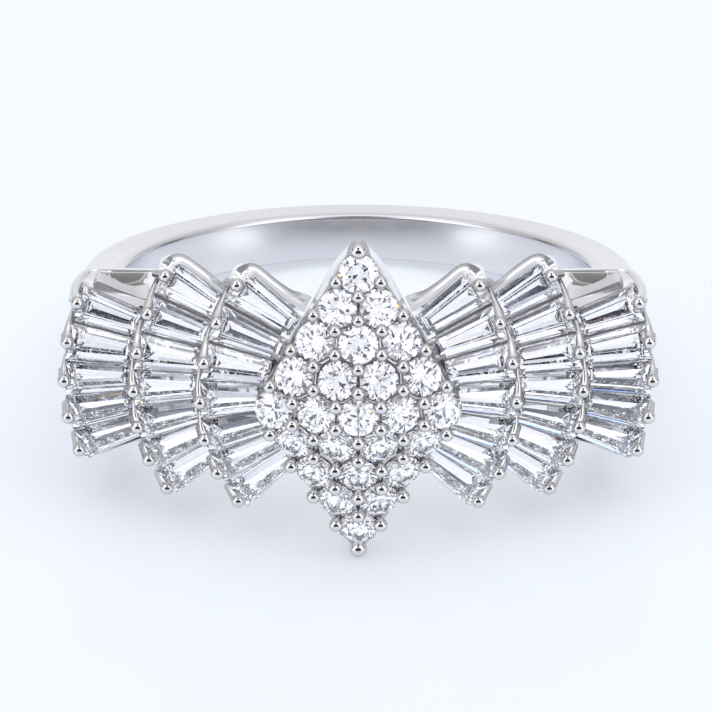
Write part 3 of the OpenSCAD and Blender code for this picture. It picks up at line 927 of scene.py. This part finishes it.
shank_rings = []
for front in np.linspace(SHOULDER_FRONT, 0, SHOULDER_STOPS):
    u = front / SHOULDER_FRONT
    blend = smooth_step(front / RAIL_FRONT / 1.05)
    half = band_half_width(front) + (SHOULDER_WIDTH / 2 - band_half_width(front)) * blend
    outer = BAND_OUTER_SIDE + (SHOULDER_X - BAND_OUTER_SIDE) * math.sin(math.pi / 2 * u)
    inner = max(math.sqrt(BORE ** 2 - front ** 2), SHOULDER_IN)
    past_rail = front - RAIL_FRONT
    dip = 0.95 * min(max(past_rail / 1.9, 0), 1) + 0.06 * smooth_step((past_rail + 0.2) / 0.3)
    outline = shank_outline(inner, outer, half, half - dip, CROWN_FALL + 0.5 * blend, 2 + 3.5 * blend)
    shank_rings.append([(x, -front, z) for x, z in outline])
for angle in np.radians(np.linspace(90, -90, 97))[1:-1]:
    front = -BORE * math.cos(angle)
    half = band_half_width(-BAND_MIDDLE * math.cos(angle))
    outer = BAND_OUTER_BACK + BAND_SIDE_MORE * abs(math.sin(angle)) ** 2
    outline = shank_outline(BORE, outer, half, half, CROWN_FALL * (half / BAND_SIDE * 2) ** 2, 2)
    shank_rings.append([(r * math.sin(angle), r * math.cos(angle), z) for r, z in outline])
right_side = shank_rings[:SHOULDER_STOPS]
for ring in reversed(right_side):
    shank_rings.append([(-x, y, z) for x, y, z in ring])
shank_shape = Shape()
shank_shape.loft(shank_rings)
shank = make_piece("shank", shank_shape, polished_gold, crisp_angle=60)
shank.data.materials.append(inside_gold)
for face, corners in zip(shank.data.polygons, shank_shape.faces):
    middle = np.mean([shank_shape.points[i] for i in corners], axis=0)
    if math.hypot(middle[0], middle[1]) < BORE + 0.05:
        face.material_index = 1
print("shank outlines:", len(shank_rings))

# %% [markdown]
# Above each outer fan the shoulder ends in a rail. From the rail a hollow-ground slope runs down to the
# highest stone, and the rail's outer end sweeps round the corner into the first bead.

# %% Caps and arms of the shoulders
RAIL_HEIGHT = 3.24
CAP_THICK = 0.22
CAP_START = 7.0
CAP_LENGTH = 2.75
outer_fan = FANS["outer"]
first_place = FanPlace(outer_fan, top_turn(outer_fan))


def cap_point(u, v):
    """A place on the slope: u runs outwards along the rail, v from the rail to the stone."""
    corner = max(0, u - 0.8) / 0.2
    rail_spot = np.array([CAP_START + CAP_LENGTH * u, -RAIL_FRONT - 0.25 * corner,
                          RAIL_HEIGHT - 0.10 * corner])
    along = BAGUETTE_IN - 0.1 + (BAGUETTE_OUT - BAGUETTE_IN + 0.1) * u
    stone_spot = first_place.point(along, baguette_half_width(outer_fan, along) + 0.04, -0.14)
    spot = rail_spot + (stone_spot - rail_spot) * v
    hollow = 0.10 * math.sin(math.pi * v)
    return spot + np.array([0, 0.7, -0.7]) * hollow


caps = Shape()
for mirror in SIDES.values():
    outlines = []
    for u in np.linspace(0, 1, 15):
        top = [cap_point(u, v) for v in np.linspace(0, 1, 13)]
        thick = np.linspace(CAP_THICK, 0.06, 13)
        below = [p - np.array([0, -0.3 * t, t]) for p, t in zip(reversed(top), reversed(thick))]
        outlines.append([p * (mirror, 1, 1) for p in top + below])
    caps.loft(outlines)
shoulder_caps = make_piece("shoulder_caps", caps, soft_gold, crisp_angle=40)

ARM_STOPS = 44
ARM_PATH = [
    (CAP_START, -RAIL_FRONT, RAIL_HEIGHT - 0.08),
    (8.2, -RAIL_FRONT, RAIL_HEIGHT - 0.06),
    (9.20, -RAIL_FRONT, RAIL_HEIGHT - 0.07),
    (9.58, -5.48, RAIL_HEIGHT - 0.13),
    (9.78, -6.15, RAIL_HEIGHT - 0.28),
    (9.82, -6.72, RAIL_HEIGHT - 0.44),
    first_place.origin + (0, 0.12, 0.06),
]
arms = Shape()
for mirror in SIDES.values():
    path = smooth_path(ARM_PATH, ARM_STOPS)
    radii = [0.10 + 0.10 * smooth_step((i - 8) / 24) for i in range(len(path))]
    tube(arms, path * (mirror, 1, 1), radii, sides=14)
make_piece("shoulder_arms", arms, soft_gold)
print("caps:", len(caps.faces), "faces; arms:", len(arms.faces), "faces")

# %% [markdown]
# The shoulders are hollow under the outer fans, and a half-moon slot opens each of them to the finger's
# side. The cutters are plain solids, and a boolean takes them out of the shank.

# %% The hollow and the half-moon slots
SLOT_X = 8.06
SLOT_FRONT = 5.24
SLOT_LENGTH = 1.32
SLOT_WIDTH = 0.62
HOLLOW = [(7.62, -4.85), (9.75, -4.85), (9.75, -7), (7.62, -7)]
HOLLOW_HALF = 2.2
LINING_FLOOR = 2.50
LINING_UNDER = 2.56


def slot_outline():
    """A half moon: straight on the finger's side and round on the face's side."""
    radius = (SLOT_LENGTH ** 2 / 4 + SLOT_WIDTH ** 2) / (2 * SLOT_WIDTH)
    half_angle = math.asin(SLOT_LENGTH / 2 / radius)
    arc = np.linspace(-half_angle, half_angle, 25)
    return [(radius * math.sin(a), radius * math.cos(a) - radius + SLOT_WIDTH) for a in arc]


cutters = Shape()
for mirror in SIDES.values():
    outline = [(mirror * (SLOT_X + a), -(SLOT_FRONT + b)) for a, b in slot_outline()]
    cutters.loft([[(x, y, z) for x, y in outline] for z in (-4, 4)])
slot_cutter = make_piece("slot_cutter", cutters, polished_gold)
hollows = Shape()
for mirror in SIDES.values():
    hollows.loft([[(mirror * x, y, z) for x, y in HOLLOW] for z in (-HOLLOW_HALF, HOLLOW_HALF)])
hollow_cutter = make_piece("hollow_cutter", hollows, polished_gold)


def carve(piece, cutters):
    """Take the cutters out of a piece for good."""
    for cutter in cutters:
        cut = piece.modifiers.new("cut", "BOOLEAN")
        cut.operation = "DIFFERENCE"
        cut.object = cutter
        cut.solver = "EXACT"
    evaluated = piece.evaluated_get(bpy.context.evaluated_depsgraph_get())
    carved = bpy.data.meshes.new_from_object(evaluated)
    piece.modifiers.clear()
    piece.data = carved
    print(piece.name, "after carving:", len(carved.polygons), "faces")


linings = Shape()
for mirror in SIDES.values():
    rings = []
    for shrink, floor_level in ((0.995, None), (0.995, LINING_FLOOR), (0.93, LINING_UNDER), (0.93, None)):
        ring = []
        for a, b in slot_outline():
            front = (b - SLOT_WIDTH / 2) * shrink + SLOT_WIDTH / 2 + SLOT_FRONT
            on_slope = RAIL_HEIGHT - 0.05 - 0.32 * (front - RAIL_FRONT)
            level = on_slope if floor_level is None else floor_level
            ring.append((mirror * (SLOT_X + a * shrink), -front, level))
        rings.append(ring)
    linings.loft(rings, closed=True)
make_piece("slot_linings", linings, raw_gold, crisp_angle=40)

carve(shank, (hollow_cutter, slot_cutter))
carve(shoulder_caps, (slot_cutter,))
for cutter in (hollow_cutter, slot_cutter):
    bpy.data.objects.remove(cutter)

# %% [markdown]
# A bridge carries the finger hole's wall on under the head. It is a plain strip, thin under the lozenge
# and thicker where it grows out of the shoulders.

# %% The bridge under the head
BRIDGE_REACH = 52
BRIDGE_THIN_TO = 38
BRIDGE_THICK = 0.6
BRIDGE_HALF = 1.25
bridge_shape = Shape()
outlines = []
for angle in np.radians(np.linspace(-BRIDGE_REACH, BRIDGE_REACH, 61)):
    grown = smooth_step((abs(math.degrees(angle)) - BRIDGE_THIN_TO) / (BRIDGE_REACH - BRIDGE_THIN_TO))
    thick = BRIDGE_THICK + 0.8 * grown
    half = BRIDGE_HALF + 0.12 * grown
    section = rounded_box(BORE, BORE + thick, -half, half, 0.12)
    outlines.append([(r * math.sin(angle), -r * math.cos(angle), z) for r, z in section])
bridge_shape.loft(outlines)
make_piece("bridge", bridge_shape, polished_gold)
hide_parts("mounting")
print("bridge outlines:", len(outlines))

# %% [markdown]
# The ring lies on a glossy white sheet. The sheet mirrors only a little, so its reflection stays faint.
# It is lit from below as well, as a light table is, which keeps the shadow pale.

# %% The floor
floor_material, nodes, links, shader = node_material("glossy_white_sheet")
sheen_noise = noise_node(nodes, links, 30)
cloudy = sheen_noise.outputs["Fac"]
floor_tone = ramp_node(nodes, links, cloudy, [(0.3, (0.445, 0.465, 0.50)), (0.7, (0.455, 0.475, 0.51))])
links.new(floor_tone.outputs["Color"], shader.inputs["Base Color"])
glow = ramp_node(nodes, links, cloudy, [(0.3, (0.430, 0.453, 0.485)), (0.7, (0.435, 0.458, 0.49))])
links.new(glow.outputs["Color"], shader.inputs["Emission Color"])
shader.inputs["Emission Strength"].default_value = 1.0
floor_rough = ramp_node(nodes, links, cloudy, [(0.3, grey(0.16)), (0.7, grey(0.22))])
links.new(floor_rough.outputs["Color"], shader.inputs["Roughness"])
shader.inputs["Specular IOR Level"].default_value = 0.22
floor_mesh = bpy.data.meshes.new("floor")
FLOOR_HALF = 0.6
floor_corners = [(FLOOR_HALF * x, FLOOR_HALF * y, 0) for x, y in ((-1, -1), (1, -1), (1, 1), (-1, 1))]
floor_mesh.from_pydata(floor_corners, [], [(0, 1, 2, 3)])
floor_mesh.materials.append(floor_material)
floor = bpy.data.objects.new("floor", floor_mesh)
bpy.context.collection.objects.link(floor)
floor.visible_transmission = False
print("floor:", 2 * FLOOR_HALF, "m across")

# %% [markdown]
# Jewellery is lit with large soft sheets, and the gaps between them give the dark lines in metal and
# stones. One lamp fills the floor. The rest of the studio is painted on the world, as round patches
# over a tone. Metal and stones need different studios: a bead wants one large sheet with a dark middle
# where the camera stands, and a stone wants many small dark flags to break its light up. So rays that
# have passed through a stone see a studio of their own, with a few blue windows and warm lamps for its
# flashes. The sky also lights soft surfaces a little less than it shines in mirrors, for the floor's sake.

# %% Light
def soft_box(name, place, target, width, height, power, colour):
    """A rectangular lamp that is turned towards its target."""
    data = bpy.data.lights.new(name, "AREA")
    data.shape = "RECTANGLE"
    data.size = width
    data.size_y = height
    data.energy = power
    data.color = colour
    lamp = bpy.data.objects.new(name, data)
    lamp.location = place
    lamp.rotation_euler = (Vector(target) - Vector(place)).to_track_quat("-Z", "Y").to_euler()
    bpy.context.collection.objects.link(lamp)
    return lamp


ring_middle = Vector((0, 0, 0.004))
fill = soft_box("fill_on_the_floor", (0, -0.02, 0.24), ring_middle, width=0.34, height=0.30, power=0.47,
                colour=(0.97, 0.99, 1.0))
fill.visible_glossy = False
fill.visible_transmission = False

world = bpy.data.worlds.new("studio")
bpy.context.scene.world = world
world.use_nodes = True
sky = world.node_tree.nodes
sky_links = world.node_tree.links
direction = sky.new("ShaderNodeTexCoord")
split = sky.new("ShaderNodeSeparateXYZ")
sky_links.new(direction.outputs["Generated"], split.inputs["Vector"])
HEIGHT_TONES = [
    (0.0, (1.08, 1.08, 1.11)),
    (0.10, (0.96, 0.96, 0.99)),
    (0.26, (0.75, 0.75, 0.77)),
    (0.60, (0.72, 0.72, 0.74)),
    (0.90, (0.95, 0.95, 0.97)),
]
FLAG_TONES = [
    (0.375, (0.03, 0.03, 0.07)),
    (0.40, (0.36, 0.37, 0.46)),
    (0.43, (1.02, 1.04, 1.17)),
    (0.60, (1.32, 1.33, 1.42)),
]
FLAG_SCALE = 5.9
height_tone = ramp_node(sky, sky_links, split.outputs["Z"], HEIGHT_TONES)
flags = sky.new("ShaderNodeTexNoise")
flags.inputs["Scale"].default_value = FLAG_SCALE
flags.inputs["Detail"].default_value = 0.0
sky_links.new(direction.outputs["Generated"], flags.inputs["Vector"])
flag_tone = ramp_node(sky, sky_links, flags.outputs["Fac"], FLAG_TONES)


def compass(azimuth, elevation):
    """A direction: azimuth 0 is the viewer's side, 90 the right, and elevation counts up from the floor."""
    a, e = math.radians(azimuth), math.radians(elevation)
    return (math.sin(a) * math.cos(e), -math.cos(a) * math.cos(e), math.sin(e))


def studio_patch(behind, azimuth, elevation, inner, outer, colour):
    """Mix a round patch into the studio's tone, fading from the inner to the outer angle in degrees."""
    towards = sky.new("ShaderNodeVectorMath")
    towards.operation = "DOT_PRODUCT"
    towards.inputs[1].default_value = compass(azimuth, elevation)
    sky_links.new(direction.outputs["Generated"], towards.inputs[0])
    edge = sky.new("ShaderNodeMapRange")
    edge.interpolation_type = "SMOOTHSTEP"
    edge.inputs["From Min"].default_value = math.cos(math.radians(outer))
    edge.inputs["From Max"].default_value = math.cos(math.radians(inner))
    sky_links.new(towards.outputs["Value"], edge.inputs["Value"])
    mix = sky.new("ShaderNodeMix")
    mix.data_type = "RGBA"
    mix.inputs["B"].default_value = (*colour, 1)
    sky_links.new(edge.outputs["Result"], mix.inputs["Factor"])
    sky_links.new(behind, mix.inputs["A"])
    return mix.outputs["Result"]


# name, azimuth, elevation, inner and outer angle, colour
METAL_STUDIO = [
    ("large front sheet", 0, 22, 60, 78, (1.55, 1.55, 1.58)),
    ("dark screen", 0, 0, 43, 51, (0.05, 0.05, 0.052)),
    ("camera", 0, 67, 13, 19, (0.03, 0.03, 0.032)),
    ("left wall", -115, 12, 24, 50, (0.62, 0.62, 0.64)),
    ("right wall", 115, 12, 24, 50, (0.62, 0.62, 0.64)),
    ("left doorway", -106, 4, 7, 13, (0.05, 0.05, 0.05)),
    ("right doorway", 106, 4, 7, 13, (0.05, 0.05, 0.05)),
]
STONE_STUDIO = [
    ("blue window", 128, 42, 6, 12, (0.9, 1.5, 3.2)),
    ("blue window", -118, 36, 6, 12, (0.9, 1.5, 3.2)),
    ("blue window", 30, -40, 5, 10, (0.9, 1.5, 3.2)),
    ("warm lamp", 70, 62, 2, 4, (3.0, 1.7, 0.6)),
    ("warm lamp", -84, 55, 2, 4, (3.0, 1.7, 0.6)),
]
metal_tone = height_tone.outputs["Color"]
for patch in METAL_STUDIO:
    metal_tone = studio_patch(metal_tone, *patch[1:])
stone_tone = flag_tone.outputs["Color"]
for patch in STONE_STUDIO:
    stone_tone = studio_patch(stone_tone, *patch[1:])
ray = sky.new("ShaderNodeLightPath")
through_stone = sky.new("ShaderNodeMix")
through_stone.data_type = "RGBA"
sky_links.new(ray.outputs["Is Transmission Ray"], through_stone.inputs["Factor"])
sky_links.new(metal_tone, through_stone.inputs["A"])
sky_links.new(stone_tone, through_stone.inputs["B"])
sky_links.new(through_stone.outputs["Result"], sky["Background"].inputs["Color"])
FLOOR_SHARE = 0.63
share = sky.new("ShaderNodeMapRange")
share.inputs["To Min"].default_value = 1.0
share.inputs["To Max"].default_value = FLOOR_SHARE
sky_links.new(ray.outputs["Is Diffuse Ray"], share.inputs["Value"])
sky_links.new(share.outputs["Result"], sky["Background"].inputs["Strength"])
print("lamp:", fill.name)
print("patches seen by metal:", [patch[0] for patch in METAL_STUDIO])
print("patches seen through stones:", [patch[0] for patch in STONE_STUDIO])

# %% [markdown]
# The photograph was taken with a long lens from above the face. The camera stands 250 mm from the ring,
# 18.5 degrees above the plane across the finger, and looks at a point just below the ring's middle.

# %% Camera
CAMERA_DISTANCE = 0.250
ABOVE_RING_PLANE = 18.5
elevation = math.radians(ABOVE_RING_PLANE + lean)
SENSOR = 36.0
PIXELS_PER_MM = 28.0
IMAGE_WIDTH = 712
LOOK_BELOW = 45.4
LOOK_LEFT = 2.3
camera_data = bpy.data.cameras.new("camera")
camera_data.sensor_width = SENSOR
camera_data.lens = PIXELS_PER_MM * CAMERA_DISTANCE / MM * SENSOR / IMAGE_WIDTH
camera_data.clip_start = 0.01
camera_data.clip_end = 10
camera = bpy.data.objects.new("camera", camera_data)
bpy.context.collection.objects.link(camera)
view_line = Vector((0, -math.cos(elevation), math.sin(elevation)))
picture_up = Vector((0, math.sin(elevation), math.cos(elevation)))
centre = Vector(HOLE_CENTRE)
camera.location = centre + view_line * CAMERA_DISTANCE
aim = centre - picture_up * (LOOK_BELOW / PIXELS_PER_MM * MM) - to_right * (LOOK_LEFT / PIXELS_PER_MM * MM)
camera.rotation_euler = (aim - camera.location).to_track_quat("-Z", "Y").to_euler()
bpy.context.scene.camera = camera
bpy.context.scene.view_settings.view_transform = "Standard"
bpy.context.scene.cycles.max_bounces = 24
bpy.context.scene.cycles.glossy_bounces = 16
bpy.context.scene.cycles.transmission_bounces = 24
print("lens:", round(camera_data.lens, 1), "mm, elevation:", round(math.degrees(elevation), 2))
